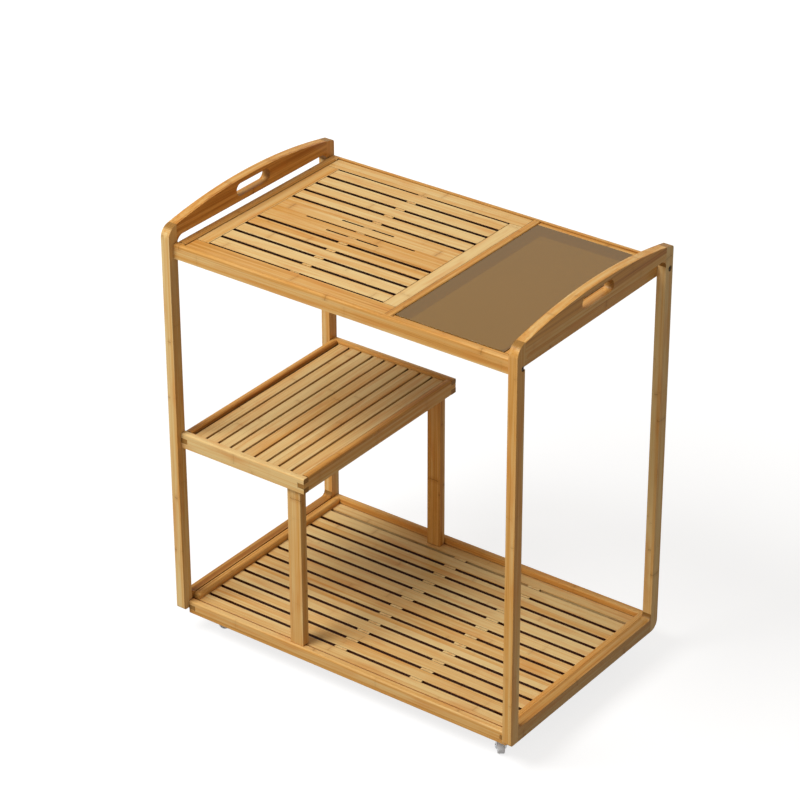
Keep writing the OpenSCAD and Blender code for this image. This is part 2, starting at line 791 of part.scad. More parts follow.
// Half of the wheel's section: bore, hub, thin web and rounded tread
module wheel_section() {
  hw = wheel_w / 2;
  e = 2;
  difference() {
    union() {
      translate([axle_r + run_gap, -hw - hub_side]) square([3, wheel_w + 2 * hub_side]);
      translate([axle_r + run_gap, -hw * 0.45]) square([wheel_r - axle_r - run_gap - 2, hw * 0.9]);
      translate([wheel_r - 4, -hw]) square([4 - e, wheel_w]);
      translate([wheel_r - 4, -hw + e]) square([4, wheel_w - 2 * e]);
      for (y = [-hw + e, hw - e]) translate([wheel_r - e, y]) circle(e);
    }
    translate([0, -wheel_w]) square([axle_r + run_gap, 2 * wheel_w]);
  }
}

module caster_wheel(i) {
  color(nylon) caster_at(i) rotate([0, 0, swivel[i][3]]) translate([trail, 0, wheel_r]) rotate([90, 0, 0])
    rotate_extrude($fn = 96) wheel_section();
}

color(bamboo) post(-1, -1);  // post_front_left
color(bamboo) post(1, -1);  // post_front_right
color(bamboo) post(-1, 1);  // post_back_left
color(bamboo) post(1, 1);  // post_back_right
color(bamboo) handle_panel(-1);  // handle_panel_left
color(bamboo) handle_panel(1);  // handle_panel_right
color(bamboo) foot_rail(-1);  // foot_rail_left
color(bamboo) foot_rail(1);  // foot_rail_right
color(bamboo) deck_long_rail(deck_y0, true);  // deck_rail_front
color(bamboo) deck_long_rail(back_yi, false);  // deck_rail_back
color(bamboo) deck_side_rail(-1);  // deck_rail_left
color(bamboo) deck_side_rail(1);  // deck_rail_right
deck_divider();
deck_slats();
deck_border_boards();
deck_centre_board();
deck_end_boards();
deck_cross_batten();
deck_end_battens();
glass_panel();
glass_ledge_strips();
glass_cleats();
glass_pads();
mid_long_rail(deck_y0);  // mid_rail_front
mid_long_rail(back_yi);  // mid_rail_back
mid_side_rail(-inner_x);  // mid_rail_left
mid_side_rail(mid_xi1);  // mid_rail_right
mid_slats();
mid_cleats();
support_post_front();
support_post_back();
low_rail_front();
low_rail_back();
low_side_rail(-1);  // low_rail_left
low_side_rail(1);  // low_rail_right
low_slats();
low_border_boards();
low_cross_battens();
low_end_battens();
caster_blocks();
frame_bolts();
barrel_nuts();
frame_screws();
caster_screws();
caster_plate(0);  // caster_plate_front_left
caster_plate(1);  // caster_plate_front_right
caster_plate(2);  // caster_plate_back_left
caster_plate(3);  // caster_plate_back_right
caster_fork(0);  // caster_fork_front_left
caster_fork(1);  // caster_fork_front_right
caster_fork(2);  // caster_fork_back_left
caster_fork(3);  // caster_fork_back_right
caster_axle(0);  // caster_axle_front_left
caster_axle(1);  // caster_axle_front_right
caster_axle(2);  // caster_axle_back_left
caster_axle(3);  // caster_axle_back_right
caster_wheel(0);  // caster_wheel_front_left
caster_wheel(1);  // caster_wheel_front_right
caster_wheel(2);  // caster_wheel_back_left
caster_wheel(3);  // caster_wheel_back_right
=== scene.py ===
"""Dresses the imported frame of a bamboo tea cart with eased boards, tinted glass and small zinc casters."""

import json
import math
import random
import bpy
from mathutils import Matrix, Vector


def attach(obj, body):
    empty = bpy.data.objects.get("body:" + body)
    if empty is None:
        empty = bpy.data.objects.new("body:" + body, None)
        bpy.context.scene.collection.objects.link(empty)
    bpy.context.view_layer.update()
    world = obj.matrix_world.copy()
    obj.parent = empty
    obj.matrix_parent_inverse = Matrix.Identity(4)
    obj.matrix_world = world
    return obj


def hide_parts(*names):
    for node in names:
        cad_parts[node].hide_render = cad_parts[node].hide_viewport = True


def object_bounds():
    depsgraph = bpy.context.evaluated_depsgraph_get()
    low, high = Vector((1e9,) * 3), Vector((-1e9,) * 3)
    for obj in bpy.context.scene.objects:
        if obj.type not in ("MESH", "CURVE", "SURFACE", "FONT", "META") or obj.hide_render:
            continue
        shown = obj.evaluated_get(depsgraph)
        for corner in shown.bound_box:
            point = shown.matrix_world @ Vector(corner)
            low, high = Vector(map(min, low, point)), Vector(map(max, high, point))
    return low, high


bl_info = {
    "name": "Bamboo Tea Cart",
    "version": (1, 0, 0),
    "blender": (4, 5, 0),
    "location": "View3D > Sidebar > Tea Cart",
    "description": "Dresses the frame of a bamboo tea cart with boards, glass, fasteners and casters",
    "category": "Add Mesh",
}

import bmesh
import bpy
from bpy.props import FloatProperty, FloatVectorProperty, IntProperty, PointerProperty
from mathutils import Matrix, Vector

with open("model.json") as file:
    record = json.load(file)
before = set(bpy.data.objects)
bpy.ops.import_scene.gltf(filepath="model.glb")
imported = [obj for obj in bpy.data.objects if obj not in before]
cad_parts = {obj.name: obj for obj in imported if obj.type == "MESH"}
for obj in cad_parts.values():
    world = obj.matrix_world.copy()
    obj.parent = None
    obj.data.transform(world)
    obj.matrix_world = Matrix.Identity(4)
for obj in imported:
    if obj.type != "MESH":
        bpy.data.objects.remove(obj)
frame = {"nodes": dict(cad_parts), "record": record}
CAD_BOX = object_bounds()

MM = 0.001
CORNERS = ("front_left", "front_right", "back_left", "back_right")
# Boards whose slot walls are painted dark as shade
SLOTTED = ("deck_slats", "deck_border_boards", "deck_centre_board", "deck_end_boards", "deck_cross_batten",
           "low_slats", "low_cross_battens")

# A face whose normal rises less than this is the wall of a slot, and one below the second looks down
LEANING = 0.8
DOWNWARD = -0.99

# Angles and distances that tell edges and faces apart
SHARP_EDGE = math.radians(28)
FLAT_EDGE = math.radians(0.3)
SMOOTH_EDGE = math.radians(42)
WELD = 2e-6
LEVEL = 0.01 * MM

# How far the small parts' edges are broken
SMALL_EDGE = 0.35 * MM
STEEL_EDGE = 0.5 * MM
PAD_EDGE = 0.6 * MM
SMALL_STEPS = 2
BEND_STEPS = 4

# The moulded wheel
WHEEL_TURNS = 64
SHOULDER_STEPS = 6
HUB_WALL = 3.0 * MM
RIM_WALL = 4.0 * MM
WEB_HALF = 2.7 * MM
RIM_INSET = 0.3 * MM
SHOULDER = 2.0 * MM
CHAMFER = 0.3 * MM
DRAFT = 0.25 * MM
CROWN = 0.12 * MM
CREST = 0.04 * MM
CREST_SHARE = 0.33
SEAM_REACH = 0.35 * MM
SEAM_HALF = 0.12 * MM
SEAM_DEPTH = 0.12 * MM
TREAD_BAND = 0.5 * MM

# The round wheel is this much smaller in radius than the CAD's faceted one, to stay above the floor
INSIDE_FACETS = 0.02 * MM

# Shares of a cross recess's arm
ARM_SLIM = 0.2
ARM_DEEP = 0.6
ARM_FLOOR = 0.8

# The stage
FLOOR_HALF = 14.0
FADE_START = 0.7
KEY_SPOT = (-1.86, -3.22, 5.35)
KEY_SIZE = 3.2
FRONT_SPOT = (-0.2, -4.6, 0.8)
FRONT_SIZE = 2.6
SENSOR = 36
FAR = 100


# Settings that a user would change


def colour(name, description, value):
    return FloatVectorProperty(
        name=name, description=description, subtype="COLOR", size=3, min=0, max=1, default=value
    )


def length(name, description, value):
    return FloatProperty(name=name, description=description, unit="LENGTH", min=0, default=value)


def share(name, description, value):
    return FloatProperty(name=name, description=description, subtype="FACTOR", min=0, max=1, default=value)


class CartBamboo(bpy.types.PropertyGroup):
    pale: colour("Pale Strip", "Colour of the palest bamboo strips", (0.83, 0.595, 0.265))
    honey: colour("Honey Strip", "Colour of most bamboo strips", (0.71, 0.355, 0.085))
    brown: colour("Brown Strip", "Colour of the darkest bamboo strips", (0.42, 0.155, 0.024))
    blush: colour("Blush", "Colour of the redder streaks along the strips", (0.66, 0.25, 0.045))
    # The slot colour is painted shade, which slots, grooves and inner corners are darkened towards
    slot: colour("Slots", "Colour of the old lacquer and dust in slots and corners", (0.024, 0.006, 0.002))
    strip: length("Strip Width", "Width of one laminated strip", 21 * MM)
    ply: length("Ply Thickness", "Thickness of one laminated ply", 6.5 * MM)
    knuckles: length("Knuckle Spacing", "Distance between a strip's knuckles", 290 * MM)
    sheen: share("Lacquer", "How strong the clear lacquer shines", 0.08)
    # How far the ambient occlusion that paints shade into grooves and corners looks for neighbours
    groove: length("Groove Reach", "How near a neighbour darkens a groove or a corner", 9 * MM)


class CartEdges(bpy.types.PropertyGroup):
    post: length("Post Edges", "How far the posts' and handles' edges are eased", 1.6 * MM)
    rail: length("Rail Edges", "How far the rails' edges are eased", 1.0 * MM)
    board: length("Board Edges", "How far the boards' and slats' edges are eased", 0.7 * MM)
    slat: length("Slat Edges", "How far the deck's slats are eased along their slots", 1.1 * MM)
    steps: IntProperty(name="Edge Steps", description="Facets across an eased edge", min=1, max=6, default=3)


class CartGlass(bpy.types.PropertyGroup):
    tint: colour("Glass Tint", "Colour of the tinted pane", (0.30, 0.145, 0.006))
    clearness: share("Clearness", "How much light the pane lets through", 0.45)
    edge: length("Pencil Edge", "How far the pane's edges are ground", 0.5 * MM)


class CartMetal(bpy.types.PropertyGroup):
    zinc: colour("Zinc", "Colour of the plated steel", (0.62, 0.63, 0.65))
    bolt: colour("Bolt", "Colour of the browned bolts", (0.15, 0.115, 0.085))
    wheel: colour("Wheel", "Colour of the wheels' plastic", (0.91, 0.92, 0.94))
    pad: colour("Pad", "Colour of the soft pads under the glass", (0.72, 0.72, 0.70))
    bend: length("Fork Bend", "Outer radius of the bends in the casters' forks", 1.3 * MM)
    recess: length("Screw Recess", "Half of the length of a cross recess", 1.7 * MM)


class CartStudio(bpy.types.PropertyGroup):
    floor: colour("Floor", "Colour of the studio floor", (0.90, 0.90, 0.90))
    bounce: share("Bounce", "How much light the floor throws back", 0.35)
    glow: share("Floor White", "How much of the floor's white doesn't come from the lamps", 0.79)
    fill: colour("Fill", "Colour of the soft light all round", (1.0, 0.92, 0.82))
    key: FloatProperty(name="Key Light", description="Power of the key light in watts", min=0, default=306)
    front: FloatProperty(name="Front Light", description="Power of the low light in front in watts", min=0,
                         default=20)
    fade: FloatProperty(name="Floor Fade", description="Where the floor has turned white", unit="LENGTH",
                        min=1, default=2.8)
    sky: FloatProperty(name="Sky", description="Strength of the soft light all round", min=0, default=0.30)
    yaw: FloatProperty(name="Camera Yaw", description="Turn about the vertical", subtype="ANGLE",
                       default=math.radians(36.57))
    pitch: FloatProperty(name="Camera Pitch", description="Tilt below the horizon", subtype="ANGLE",
                         default=math.radians(29.31))
    roll: FloatProperty(name="Camera Roll", description="Turn about the line of sight", subtype="ANGLE",
                        default=math.radians(0.17))
    lens: FloatProperty(name="Lens", description="Focal length in millimetres", min=1, default=141.35)
    distance: length("Camera Distance", "From the camera to the point it looks at", 5.167)
    target: FloatVectorProperty(name="Camera Target", description="The point that the camera looks at",
                                subtype="TRANSLATION", size=3, default=(-0.089, 0.0779, 0.398))


# Node trees


class Tree:
    """A material's node tree that is built from its last node back."""

    def __init__(self, name):
        self.material = bpy.data.materials.new(name)
        self.material.use_nodes = True
        self.nodes = self.material.node_tree.nodes
        self.links = self.material.node_tree.links
        self.nodes.clear()
        self.shader = self.nodes.new("ShaderNodeBsdfPrincipled")
        self.out = self.nodes.new("ShaderNodeOutputMaterial")
        self.links.new(self.shader.outputs[0], self.out.inputs["Surface"])

    def add(self, kind, values=None, **settings):
        made = self.nodes.new("ShaderNode" + kind)
        for key, value in settings.items():
            setattr(made, key, value)
        for key, value in (values or {}).items():
            self.give(made.inputs[key], value)
        return made

    def give(self, socket, value):
        if isinstance(value, bpy.types.NodeSocket):
            self.links.new(value, socket)
        else:
            socket.default_value = value

    def sum(self, operation, a, b=0.0, c=0.0):
        made = self.nodes.new("ShaderNodeMath")
        made.operation = operation
        for socket, value in zip(made.inputs, (a, b, c)):
            self.give(socket, value)
        return made.outputs[0]

    def fade(self, value, low, high, to_low=0.0, to_high=1.0):
        made = self.add("MapRange", {"Value": value, "From Min": low, "From Max": high,
                                     "To Min": to_low, "To Max": to_high}, interpolation_type="SMOOTHSTEP")
        return made.outputs["Result"]

    def vector(self, x, y, z):
        return self.add("CombineXYZ", {"X": x, "Y": y, "Z": z}).outputs[0]

    def noise(self, vector, scale, detail=2.0):
        return self.add("TexNoise", {"Vector": vector, "Scale": scale, "Detail": detail}).outputs["Fac"]

    def blend(self, factor, a, b):
        made = self.add("Mix", data_type="RGBA")
        self.give(made.inputs["Factor"], factor)
        self.give(made.inputs[6], a)
        self.give(made.inputs[7], b)
        return made.outputs[2]

    def ramp(self, factor, stops):
        made = self.add("ValToRGB", {"Fac": factor})
        points = made.color_ramp.elements
        while len(points) < len(stops):
            points.new(0.5)
        for point, (place, value) in zip(points, stops):
            point.position = place
            point.color = (*value, 1)
        return made.outputs["Color"]

    def finish(self, **sockets):
        for key, value in sockets.items():
            self.give(self.shader.inputs[key.replace("_", " ")], value)
        return self.material


def bump(tree, height, depth, strength=1.0):
    made = tree.add("Bump", {"Height": height, "Strength": strength, "Distance": depth})
    return made.outputs["Normal"]


def darker(rgb, by):
    return tuple(channel * by for channel in rgb)


def bamboo_material(name, shade, light, gloss, marks, slot_shade=1.0):
    """Strip-laminated bamboo.

    Light moves the tone from brown to pale, marks is how strong the knuckles are,
    and slot_shade is how dark the painted shade in slots, grooves and corners is.
    """
    s = bpy.context.scene.cart_bamboo
    t = Tree(name)
    grain = t.add("Attribute", attribute_name="grain").outputs["Vector"]
    tone = t.add("Attribute", attribute_name="tone").outputs["Fac"]
    cut = t.add("Attribute", attribute_name="end_grain").outputs["Fac"]
    wall = t.add("Attribute", attribute_name="slot_wall").outputs["Fac"]
    axes = t.add("SeparateXYZ", {"Vector": grain}).outputs
    along, across, through = axes[0], axes[1], axes[2]

    # Each strip of the lamination has its own tone and its own knuckles
    row = t.sum("DIVIDE", across, s.strip)
    ply = t.sum("DIVIDE", through, s.ply)
    cell = t.vector(t.sum("FLOOR", row), t.sum("FLOOR", ply), tone)
    strip = t.add("TexWhiteNoise", {"Vector": cell}, noise_dimensions="3D")
    strip_tone = strip.outputs["Value"]
    chance = t.add("SeparateColor", {"Color": strip.outputs["Color"]}).outputs
    strip_place, strip_marks = chance[1], t.fade(chance[2], 0.25, 0.75, 0.25 * marks, marks)

    def fibres(lengthwise, crosswise, detail):
        stretched = t.vector(t.sum("MULTIPLY", along, lengthwise), t.sum("MULTIPLY", across, crosswise),
                             t.sum("MULTIPLY", through, crosswise))
        return t.noise(stretched, 1.0, detail)

    # Fibres run along the grain, fine ones inside broader streaks
    fine = fibres(9.0, 900.0, 3.0)
    streak = fibres(2.2, 170.0, 2.0)
    cloud = t.noise(grain, 6.0, 2.0)

    # Knuckles cross a strip as a dark line in a soft darker band
    wander = t.sum("MULTIPLY", streak, 0.004)
    place = t.sum("ADD", t.sum("ADD", along, wander), t.sum("MULTIPLY", strip_place, s.knuckles))
    turn = t.sum("FRACT", t.sum("DIVIDE", place, s.knuckles))
    away = t.sum("MULTIPLY", t.sum("ABSOLUTE", t.sum("SUBTRACT", turn, 0.5)), s.knuckles)
    knuckle_band = t.fade(away, 0.0008, 0.0095, 1.0, 0.0)
    knuckle_line = t.fade(away, 0.0004, 0.0016, 1.0, 0.0)

    # A thin glue line shows between strips
    edge = t.sum("ABSOLUTE", t.sum("SUBTRACT", t.sum("FRACT", row), 0.5))
    glue = t.fade(edge, 0.478, 0.496)

    # Strips, boards, streaks, fibres and clouds each move the tone by their own weight
    mix = light
    for source, weight in ((strip_tone, 0.42), (tone, 0.26), (streak, 1.10), (fine, 0.90), (cloud, 0.30)):
        mix = t.sum("MULTIPLY_ADD", t.sum("SUBTRACT", source, 0.5), weight, mix)
    face = t.ramp(mix, [(0.0, darker(s.brown, shade)), (0.42, darker(s.honey, shade)),
                        (1.0, darker(s.pale, shade))])
    warm = fibres(11.0, 75.0, 2.0)
    face = t.blend(t.fade(warm, 0.48, 0.74, 0.0, 0.42), face, (*darker(s.blush, shade), 1))
    band = t.sum("MULTIPLY", knuckle_band, t.sum("MULTIPLY", strip_marks, 0.38))
    line = t.sum("MULTIPLY", knuckle_line, t.sum("MULTIPLY", strip_marks, 0.50))
    face = t.blend(band, face, (*darker(s.brown, shade), 1))
    face = t.blend(line, face, (*darker(s.brown, shade * 0.55), 1))
    face = t.blend(t.sum("MULTIPLY", glue, 0.30), face, (*darker(s.brown, shade * 0.8), 1))

    # Sawn ends show the fibre bundles as dark dots
    dots = t.add("TexVoronoi", {"Vector": grain, "Scale": 900.0}, feature="F1").outputs["Distance"]
    bundles = t.fade(dots, 0.15, 0.45, 0.0, 1.0)
    ends = t.blend(bundles, (*darker(s.brown, shade * 0.30), 1), (*darker(s.honey, shade * 0.55), 1))
    skin = t.blend(t.fade(cut, 0.60, 0.90), face, ends)

    # Painted shade: slots, grooves and inner corners are darkened where ambient occlusion finds near
    # neighbours, and the walls of slots most of all
    open_air = t.add("AmbientOcclusion", {"Distance": s.groove}, samples=8).outputs["AO"]
    painted_shade = t.sum("MULTIPLY", wall, t.fade(open_air, 0.78, 0.97, 1.0, 0.0))
    painted_shade = t.sum("MAXIMUM", painted_shade, t.fade(open_air, 0.12, 0.66, 0.8, 0.0))
    skin = t.blend(painted_shade, skin, (*darker(s.slot, slot_shade), 1))

    relief = t.sum("MULTIPLY_ADD", fine, 0.5, t.sum("MULTIPLY", knuckle_line, -0.6))
    relief = t.sum("MULTIPLY_ADD", glue, -0.5, relief)
    rough = t.fade(fine, 0.2, 0.9, gloss, gloss + 0.14)
    return t.finish(Base_Color=skin, Roughness=rough, Normal=bump(t, relief, 0.00012, 0.5),
                    Coat_Weight=s.sheen, Coat_Roughness=0.16, IOR=1.15)


def glass_material():
    s = bpy.context.scene.cart_glass
    t = Tree("brown_pane")
    place = t.add("TexCoord").outputs["Object"]
    wave = t.noise(place, 3.0, 1.0)
    haze = t.noise(place, 40.0, 3.0)
    tint = t.blend(t.fade(wave, 0.3, 0.7), (*darker(s.tint, 0.94), 1), (*s.tint, 1))
    rough = t.fade(haze, 0.35, 0.75, 0.01, 0.03)
    return t.finish(Base_Color=tint, Roughness=rough, Normal=bump(t, wave, 0.0002, 0.12), IOR=1.52,
                    Specular_IOR_Level=0.20, Specular_Tint=(1.0, 0.86, 0.60, 1.0),
                    Transmission_Weight=s.clearness)


def metal_material(name, rgb, rough, brushed):
    """Bright zinc plating: brushed sets how much the rolling marks show."""
    t = Tree(name)
    place = t.add("TexCoord").outputs["Object"]
    stretched = t.add("Mapping", {"Vector": place, "Scale": (60.0, 1400.0, 1400.0)}).outputs[0]
    marks = t.noise(stretched, 1.0, 2.0)
    spangle = t.add("TexVoronoi", {"Vector": place, "Scale": 700.0}, feature="F1").outputs["Color"]
    grey = t.add("RGBToBW", {"Color": spangle}).outputs[0]
    mix = t.sum("MULTIPLY_ADD", marks, 0.5, t.sum("MULTIPLY", grey, 0.5))
    skin = t.ramp(mix, [(0.1, darker(rgb, 0.80)), (0.9, rgb)])
    gloss = t.fade(mix, 0.2, 0.8, rough, rough + 0.12)
    return t.finish(Base_Color=skin, Metallic=1.0, Roughness=gloss, Normal=bump(t, marks, 0.00005, brushed))


def moulded_material(name, rgb, rough, soft):
    """Moulded plastic or rubber with a fine matt skin: soft is how much light sinks in."""
    t = Tree(name)
    place = t.add("TexCoord").outputs["Object"]
    grit = t.noise(place, 2600.0, 3.0)
    cloud = t.noise(place, 90.0, 3.0)
    skin = t.ramp(cloud, [(0.25, darker(rgb, 0.93)), (0.75, rgb)])
    rub = t.add("Attribute", attribute_name="rub").outputs["Fac"]
    scuffs = t.fade(t.noise(place, 900.0, 4.0), 0.35, 0.75, 0.05, 0.30)
    skin = t.blend(t.sum("MULTIPLY", rub, scuffs), skin, (*darker(rgb, 0.60), 1))
    gloss = t.fade(grit, 0.3, 0.8, rough, rough + 0.15)
    return t.finish(Base_Color=skin, Roughness=gloss, Normal=bump(t, grit, 0.00006, 0.35),
                    Subsurface_Weight=soft, Subsurface_Radius=(0.002, 0.002, 0.002))


def metal_colour(key, tone=1.0):
    """A colour from the settings of metal and plastic, at its own tone or another."""
    return darker(getattr(bpy.context.scene.cart_metal, key), tone)


RECIPES = {
    "frame_bamboo": lambda: bamboo_material("frame_bamboo", 1.0, 0.44, 0.40, 0.9),
    "board_bamboo": lambda: bamboo_material("board_bamboo", 1.0, 0.58, 0.40, 0.8),
    "post_bamboo": lambda: bamboo_material("post_bamboo", 1.0, 0.72, 0.40, 0.8),
    # The foot rails' darker bamboo is partly their own tone and partly painted shade near the floor
    "foot_bamboo": lambda: bamboo_material("foot_bamboo", 0.78, 0.38, 0.42, 0.9),
    "pale_bamboo": lambda: bamboo_material("pale_bamboo", 1.0, 1.0, 0.42, 0.5),
    "slat_bamboo": lambda: bamboo_material("slat_bamboo", 1.0, 0.82, 0.42, 0.5),
    "shelf_bamboo": lambda: bamboo_material("shelf_bamboo", 0.97, 0.84, 0.42, 0.5, 2.2),
    "rim_bamboo": lambda: bamboo_material("rim_bamboo", 1.0, 0.50, 0.40, 0.9, 14.0),
    "border_bamboo": lambda: bamboo_material("border_bamboo", 0.97, 0.80, 0.42, 0.5, 14.0),
    "plain_bamboo": lambda: bamboo_material("plain_bamboo", 0.86, 0.36, 0.50, 0.8),
    "brown_pane": glass_material,
    "zinc": lambda: metal_material("zinc", metal_colour("zinc"), 0.26, 0.3),
    "bolt_brown": lambda: metal_material("bolt_brown", metal_colour("bolt"), 0.34, 0.3),
    "axle_zinc": lambda: metal_material("axle_zinc", metal_colour("zinc", 1.1), 0.18, 0.1),
    "wheel_nylon": lambda: moulded_material("wheel_nylon", metal_colour("wheel"), 0.38, 0.15),
    "pad_plastic": lambda: moulded_material("pad_plastic", metal_colour("pad"), 0.42, 0.3),
}
MADE = {}


def material(name):
    """Makes each material once, when a piece first asks for it."""
    if name not in MADE:
        MADE[name] = RECIPES[name]()
    return MADE[name]


# Meshes that are taken from the frame


def islands(bm):
    """The connected solids of a mesh, as lists of faces."""
    left = set(bm.faces)
    found = []
    for first in list(bm.faces):
        if first not in left:
            continue
        left.discard(first)
        group, front = [first], [first]
        while front:
            for edge in front.pop().edges:
                for face in edge.link_faces:
                    if face in left:
                        left.discard(face)
                        group.append(face)
                        front.append(face)
        found.append(group)
    return found


def solid_of(node):
    """A clean mesh of a CAD node: one face to each flat side."""
    bm = bmesh.new()
    bm.from_mesh(frame["nodes"][node].data)
    bmesh.ops.remove_doubles(bm, verts=bm.verts, dist=WELD)
    bmesh.ops.dissolve_limit(bm, angle_limit=FLAT_EDGE, use_dissolve_boundaries=False,
                             verts=bm.verts, edges=bm.edges, delimit=set())
    bmesh.ops.recalc_face_normals(bm, faces=bm.faces)
    return bm


def ease(bm, width, steps):
    """Rounds every sharp edge of the mesh by the same width."""
    sharp = [e for e in bm.edges if len(e.link_faces) == 2 and e.calc_face_angle(0) > SHARP_EDGE]
    bmesh.ops.bevel(bm, geom=sharp, offset=width, offset_type="OFFSET", segments=steps, profile=0.5,
                    affect="EDGES", clamp_overlap=True)


def lay_grain(bm, name):
    """Writes each board's own grain: place along, across and through it, its tone, sawn ends and the slot
    walls that get painted shade.
    """
    grain = bm.verts.layers.float_vector.new("grain")
    tone = bm.verts.layers.float.new("tone")
    cut = bm.faces.layers.float.new("end_grain")
    wall = bm.faces.layers.float.new("slot_wall")
    draw = random.Random(name)
    bm.normal_update()
    for group in islands(bm):
        verts = {v for f in group for v in f.verts}
        spans = [(max(v.co[i] for v in verts) - min(v.co[i] for v in verts), i) for i in range(3)]
        order = [i for span, i in sorted(spans, reverse=True)]
        shift = Vector([draw.uniform(0, 4) for i in range(3)])
        own = draw.random()
        for v in verts:
            v[grain] = Vector([v.co[i] for i in order]) + shift
            v[tone] = own
        for f in group:
            f[cut] = abs(f.normal[order[0]])
            # Walls of slots in slotted boards are flagged for the painted shade
            f[wall] = float(name in SLOTTED and abs(f.normal.z) < LEANING)


def to_object(bm, name):
    mesh = bpy.data.meshes.new(name)
    bm.to_mesh(mesh)
    bm.free()
    mesh.shade_smooth()
    mesh.set_sharp_from_angle(angle=SMOOTH_EDGE)
    piece = bpy.data.objects.new(name, mesh)
    bpy.context.scene.collection.objects.link(piece)
    even = piece.modifiers.new("even_shading", "WEIGHTED_NORMAL")
    even.keep_sharp = True
    return piece


def fit(piece, finish, slot, body, *nodes):
    """Gives a piece its material, lets it ride on a body and stand for its CAD nodes; its slot is not used.
    """
    piece.data.materials.clear()
    piece.data.materials.append(material(finish))
    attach(piece, body)
    if nodes:
        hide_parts(*nodes)
    return piece


def board(node, width, finish="frame_bamboo", slot="bamboo"):
    """A wooden CAD node with eased edges and its own grain."""
    bm = solid_of(node)
    ease(bm, width, bpy.context.scene.cart_edges.steps)
    lay_grain(bm, node)
    return fit(to_object(bm, node + "_wood"), finish, slot, "cart", node)


def hardware(node, width, finish, slot, body="cart", steps=SMALL_STEPS):
    """A metal, glass or plastic CAD node with its edges broken."""
    bm = solid_of(node)
    ease(bm, width, steps)
    return fit(to_object(bm, node + "_part"), finish, slot, body, node)


def turned(section, turns):
    """Turns a closed section of (radius, place along the axis) about the Z axis."""
    bm = bmesh.new()
    rings = []
    for i in range(turns):
        angle = math.tau * i / turns
        rings.append([bm.verts.new((r * math.cos(angle), r * math.sin(angle), z)) for r, z in section])
    for i, ring in enumerate(rings):
        beside = rings[(i + 1) % turns]
        for j in range(len(section)):
            k = (j + 1) % len(section)
            bm.faces.new((ring[j], ring[k], beside[k], beside[j]))
    bmesh.ops.recalc_face_normals(bm, faces=bm.faces)
    return bm


def wheel_section(radius, half, bore):
    """A moulded wheel's section: bore, proud hub, thin web and a crowned tread with a mould seam."""
    hub, rim, web, side = bore + HUB_WALL, radius - RIM_WALL, WEB_HALF, half - RIM_INSET
    one = [
        (bore, half - CHAMFER),
        (bore + CHAMFER, half),
        (hub - 2 * CHAMFER, half),
        (hub - 0.5 * CHAMFER, half - CHAMFER),
        (hub, half - 3 * CHAMFER),
        (hub + DRAFT, web + 2 * CHAMFER),
        (hub + DRAFT + CHAMFER, web + 0.5 * CHAMFER),
        (hub + DRAFT + 3 * CHAMFER, web),
        (rim - DRAFT - 3 * CHAMFER, web),
        (rim - DRAFT - CHAMFER, web + 0.5 * CHAMFER),
        (rim - DRAFT, web + 2 * CHAMFER),
        (rim, side - 1.5 * CHAMFER),
        (rim + 0.5 * CHAMFER, side - 0.5 * CHAMFER),
        (rim + 2 * CHAMFER, side),
    ]
    for i in range(SHOULDER_STEPS + 1):
        angle = math.radians(90 / SHOULDER_STEPS * i)
        one.append((radius - SHOULDER + (SHOULDER - CROWN) * math.sin(angle),
                    side - SHOULDER + SHOULDER * math.cos(angle)))
    one += [(radius - CREST, side * CREST_SHARE), (radius, SEAM_REACH), (radius - SEAM_DEPTH, SEAM_HALF)]
    return one + [(r, -z) for r, z in reversed(one)]


def joint(name):
    """A joint of the record, by its name."""
    return next(j for j in frame["record"]["behaviour"]["joints"] if j["name"] == name)


def wheel(corner):
    """A turned wheel in the place of its CAD node, with scuffs on its tread."""
    node = "caster_wheel_" + corner
    roll = joint("wheel_roll_" + corner)
    middle, axle = Vector(roll["pos_m"]), Vector(roll["axis"])
    away = [v.co - middle for v in frame["nodes"][node].data.vertices]
    half = max(abs(d.dot(axle)) for d in away)
    reach = [d.cross(axle).length for d in away]
    radius = max(reach) - INSIDE_FACETS
    bm = turned(wheel_section(radius, half, min(reach)), WHEEL_TURNS)
    rub = bm.verts.layers.float.new("rub")
    for v in bm.verts:
        v[rub] = float(v.co.xy.length > radius - TREAD_BAND)
    bm.transform(Matrix.Translation(middle) @ axle.to_track_quat("Z", "Y").to_matrix().to_4x4())
    return fit(to_object(bm, node + "_part"), "wheel_nylon", "wheel_plastic", "wheel_" + corner, node)


def fork(corner):
    """A pressed fork: the outline of its top is bent round, its other edges are broken."""
    node = "caster_fork_" + corner
    bm = solid_of(node)
    top = max(v.co.z for v in bm.verts)
    brim = [e for e in bm.edges if len(e.link_faces) == 2 and e.calc_face_angle(0) > SHARP_EDGE
            and min(v.co.z for v in e.verts) > top - LEVEL]
    bmesh.ops.bevel(bm, geom=brim, offset=bpy.context.scene.cart_metal.bend, offset_type="OFFSET",
                    segments=BEND_STEPS, profile=0.5, affect="EDGES", clamp_overlap=True)
    ease(bm, SMALL_EDGE, SMALL_STEPS)
    return fit(to_object(bm, node + "_part"), "zinc", "zinc_steel", "swivel_" + corner, node)


